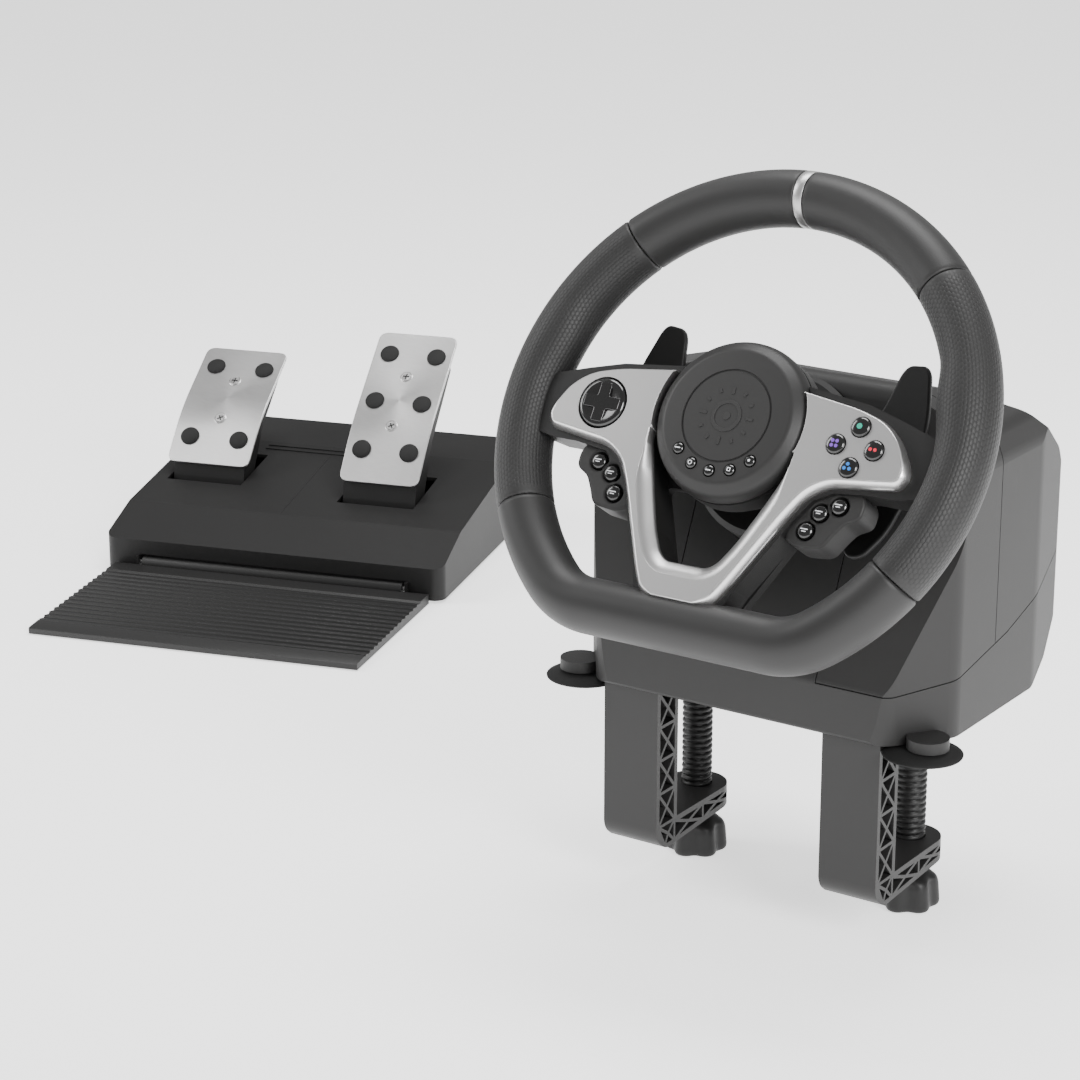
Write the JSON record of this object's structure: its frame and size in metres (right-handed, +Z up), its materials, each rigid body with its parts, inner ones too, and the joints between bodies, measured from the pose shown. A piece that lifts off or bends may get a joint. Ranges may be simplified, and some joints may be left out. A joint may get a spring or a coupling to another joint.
{
  "type": "racing wheel",
  "caption": "Desk-clamped steering wheel on a column base with shift paddles and keys, and a separate floor unit with two sprung pedals and a heel plate.",
  "frame": {"origin": "centre of the flat rubber pad under the wheel base, on the desk plane", "axes": "+X to the driver's right, +Y away from the driver, +Z up"},
  "size_m": [0.8668, 0.602, 0.3946],
  "materials": {
    "charcoal_plastic": "fine moulded texture",
    "grip_rubber": "soft-touch sheen",
    "silver_satin": "satin metallic",
    "black_plastic": "matte moulded",
    "black_rubber": "matte",
    "steel": "machined",
    "white_nylon": "moulded",
    "grey_nylon": "glass filled",
    "board_green": "solder mask",
    "brushed_plate": "brushed",
    "gloss_key": "polished",
    "key_green": "polished, green mark",
    "key_violet": "polished, violet mark",
    "key_red": "polished, red mark",
    "key_blue": "polished, blue mark"
  },
  "bodies": {
    "base": {"lower_shell": "charcoal_plastic", "front_shell": "charcoal_plastic", "rear_shell": "charcoal_plastic", "column_bezel": "charcoal_plastic", "column_frame": "grey_nylon", "column_bearings": "steel", "centring_spring": "steel", "main_board": "board_green", "desk_feet": "black_rubber", "left_clamp_arm": "charcoal_plastic", "right_clamp_arm": "charcoal_plastic"},
    "wheel": {"wheel_frame": "grey_nylon", "rim_top_grip": "grip_rubber", "rim_left_grip": "grip_rubber", "rim_right_grip": "grip_rubber", "rim_bottom_grip": "grip_rubber", "rim_top_band": "silver_satin", "spoke_backing": "charcoal_plastic", "spoke_face": "silver_satin", "hub_cover": "charcoal_plastic", "hub_rear_shell": "charcoal_plastic", "left_button_pod": "charcoal_plastic", "right_button_pod": "charcoal_plastic", "column_shaft": "steel", "steering_gear": "white_nylon"},
    "sensor": {"sensor_pinion": "white_nylon"},
    "direction_pad": {"direction_pad": "gloss_key"},
    "face_button_top": {"face_button_top": "key_green"},
    "face_button_right": {"face_button_right": "key_red"},
    "face_button_bottom": {"face_button_bottom": "key_blue"},
    "face_button_left": {"face_button_left": "key_violet"},
    "left_pod_button_1": {"left_pod_button_1": "gloss_key"},
    "left_pod_button_2": {"left_pod_button_2": "gloss_key"},
    "left_pod_button_3": {"left_pod_button_3": "gloss_key"},
    "right_pod_button_1": {"right_pod_button_1": "gloss_key"},
    "right_pod_button_2": {"right_pod_button_2": "gloss_key"},
    "right_pod_button_3": {"right_pod_button_3": "gloss_key"},
    "hub_button_1": {"hub_button_1": "gloss_key"},
    "hub_button_2": {"hub_button_2": "gloss_key"},
    "hub_button_3": {"hub_button_3": "gloss_key"},
    "hub_button_4": {"hub_button_4": "gloss_key"},
    "hub_button_5": {"hub_button_5": "gloss_key"},
    "left_paddle": {"left_paddle": "black_plastic"},
    "left_clamp_pad": {"left_clamp_pad": "black_rubber"},
    "left_clamp_screw": {"left_clamp_screw": "black_plastic"},
    "right_paddle": {"right_paddle": "black_plastic"},
    "right_clamp_pad": {"right_clamp_pad": "black_rubber"},
    "right_clamp_screw": {"right_clamp_screw": "black_plastic"},
    "pedal_unit": {"pedal_housing": "black_plastic", "pedal_pins": "steel", "pedal_bottom_plate": "black_plastic", "pedal_feet": "black_rubber", "pedal_springs": "steel"},
    "heel_plate": {"heel_plate": "black_plastic"},
    "gas_pedal": {"gas_arm": "black_plastic", "gas_plate": "brushed_plate", "gas_studs": "black_rubber"},
    "brake_pedal": {"brake_arm": "black_plastic", "brake_plate": "brushed_plate", "brake_studs": "black_rubber"}
  },
  "joints": [
    {"name": "steering", "type": "hinge", "parent": "base", "child": "wheel", "pos_m": [0, -0.1, 0.16], "axis": [0, -0.8387, 0.5446], "range_deg": [-135, 135], "stiffness_Nm_per_rad": 0.25},
    {"name": "sensor_turn", "type": "hinge", "parent": "base", "child": "sensor", "pos_m": [0.04015, -0.00607, 0.099], "axis": [0, -0.8387, 0.5446], "range_deg": [-406, 406]},
    {"name": "direction_pad_rock", "type": "hinge", "parent": "wheel", "child": "direction_pad", "pos_m": [-0.074, -0.11182, 0.16291], "axis": [0, 0.5446, 0.8387], "range_deg": [-4, 4], "stiffness_Nm_per_rad": 0.05},
    {"name": "face_button_top_press", "type": "slide", "parent": "wheel", "child": "face_button_top", "axis": [0, 0.8387, -0.5446], "range_m": [0, 0.0012], "stiffness_N_per_m": 300, "springref_m": -0.001},
    {"name": "face_button_right_press", "type": "slide", "parent": "wheel", "child": "face_button_right", "axis": [0, 0.8387, -0.5446], "range_m": [0, 0.0012], "stiffness_N_per_m": 300, "springref_m": -0.001},
    {"name": "face_button_bottom_press", "type": "slide", "parent": "wheel", "child": "face_button_bottom", "axis": [0, 0.8387, -0.5446], "range_m": [0, 0.0012], "stiffness_N_per_m": 300, "springref_m": -0.001},
    {"name": "face_button_left_press", "type": "slide", "parent": "wheel", "child": "face_button_left", "axis": [0, 0.8387, -0.5446], "range_m": [0, 0.0012], "stiffness_N_per_m": 300, "springref_m": -0.001},
    {"name": "left_pod_button_1_press", "type": "slide", "parent": "wheel", "child": "left_pod_button_1", "axis": [0, 0.8387, -0.5446], "range_m": [0, 0.0012], "stiffness_N_per_m": 300, "springref_m": -0.001},
    {"name": "left_pod_button_2_press", "type": "slide", "parent": "wheel", "child": "left_pod_button_2", "axis": [0, 0.8387, -0.5446], "range_m": [0, 0.0012], "stiffness_N_per_m": 300, "springref_m": -0.001},
    {"name": "left_pod_button_3_press", "type": "slide", "parent": "wheel", "child": "left_pod_button_3", "axis": [0, 0.8387, -0.5446], "range_m": [0, 0.0012], "stiffness_N_per_m": 300, "springref_m": -0.001},
    {"name": "right_pod_button_1_press", "type": "slide", "parent": "wheel", "child": "right_pod_button_1", "axis": [0, 0.8387, -0.5446], "range_m": [0, 0.0012], "stiffness_N_per_m": 300, "springref_m": -0.001},
    {"name": "right_pod_button_2_press", "type": "slide", "parent": "wheel", "child": "right_pod_button_2", "axis": [0, 0.8387, -0.5446], "range_m": [0, 0.0012], "stiffness_N_per_m": 300, "springref_m": -0.001},
    {"name": "right_pod_button_3_press", "type": "slide", "parent": "wheel", "child": "right_pod_button_3", "axis": [0, 0.8387, -0.5446], "range_m": [0, 0.0012], "stiffness_N_per_m": 300, "springref_m": -0.001},
    {"name": "hub_button_1_press", "type": "slide", "parent": "wheel", "child": "hub_button_1", "axis": [0, 0.8387, -0.5446], "range_m": [0, 0.001], "stiffness_N_per_m": 300, "springref_m": -0.001},
    {"name": "hub_button_2_press", "type": "slide", "parent": "wheel", "child": "hub_button_2", "axis": [0, 0.8387, -0.5446], "range_m": [0, 0.001], "stiffness_N_per_m": 300, "springref_m": -0.001},
    {"name": "hub_button_3_press", "type": "slide", "parent": "wheel", "child": "hub_button_3", "axis": [0, 0.8387, -0.5446], "range_m": [0, 0.001], "stiffness_N_per_m": 300, "springref_m": -0.001},
    {"name": "hub_button_4_press", "type": "slide", "parent": "wheel", "child": "hub_button_4", "axis": [0, 0.8387, -0.5446], "range_m": [0, 0.001], "stiffness_N_per_m": 300, "springref_m": -0.001},
    {"name": "hub_button_5_press", "type": "slide", "parent": "wheel", "child": "hub_button_5", "axis": [0, 0.8387, -0.5446], "range_m": [0, 0.001], "stiffness_N_per_m": 300, "springref_m": -0.001},
    {"name": "left_paddle_pull", "type": "hinge", "parent": "wheel", "child": "left_paddle", "pos_m": [-0.036, -0.07484, 0.14366], "axis": [0, 0.5446, 0.8387], "range_deg": [0, 6], "stiffness_Nm_per_rad": 1, "springref_deg": -5.73},
    {"name": "left_clamp_travel", "type": "slide", "parent": "base", "child": "left_clamp_pad", "axis": [0, 0, 1], "range_m": [-0.045, 0]},
    {"name": "left_clamp_turn", "type": "hinge", "parent": "left_clamp_pad", "child": "left_clamp_screw", "pos_m": [-0.067, -0.0263, -0.06], "axis": [0, 0, 1], "range_deg": [-4770, 0]},
    {"name": "right_paddle_pull", "type": "hinge", "parent": "wheel", "child": "right_paddle", "pos_m": [0.036, -0.07484, 0.14366], "axis": [0, -0.5446, -0.8387], "range_deg": [0, 6], "stiffness_Nm_per_rad": 1, "springref_deg": -5.73},
    {"name": "right_clamp_travel", "type": "slide", "parent": "base", "child": "right_clamp_pad", "axis": [0, 0, 1], "range_m": [-0.045, 0]},
    {"name": "right_clamp_turn", "type": "hinge", "parent": "right_clamp_pad", "child": "right_clamp_screw", "pos_m": [0.067, -0.0263, -0.06], "axis": [0, 0, 1], "range_deg": [-4770, 0]},
    {"name": "pedal_unit_lift", "type": "slide", "parent": "base", "child": "pedal_unit", "axis": [0, 0, 1], "range_m": [0, 0.15]},
    {"name": "heel_plate_fold", "type": "hinge", "parent": "pedal_unit", "child": "heel_plate", "pos_m": [-0.55229, 0.19696, -0.1055], "axis": [-0.9583, -0.2857, 0], "range_deg": [0, 85]},
    {"name": "gas_pedal_press", "type": "hinge", "parent": "pedal_unit", "child": "gas_pedal", "pos_m": [-0.52559, 0.28944, -0.097], "axis": [-0.9583, -0.2857, 0], "range_deg": [0, 16], "stiffness_Nm_per_rad": 4, "springref_deg": -8.59},
    {"name": "brake_pedal_press", "type": "hinge", "parent": "pedal_unit", "child": "brake_pedal", "pos_m": [-0.66031, 0.2618, -0.097], "axis": [-0.9583, -0.2857, 0], "range_deg": [0, 16], "stiffness_Nm_per_rad": 8, "springref_deg": -8.59}
  ],
  "couplings": [
    {"joint": "sensor_turn", "follows": "steering", "ratio": -3},
    {"joint": "left_clamp_turn", "follows": "left_clamp_travel", "rad_per_m": 1848},
    {"joint": "right_clamp_turn", "follows": "right_clamp_travel", "rad_per_m": 1848}
  ]
}
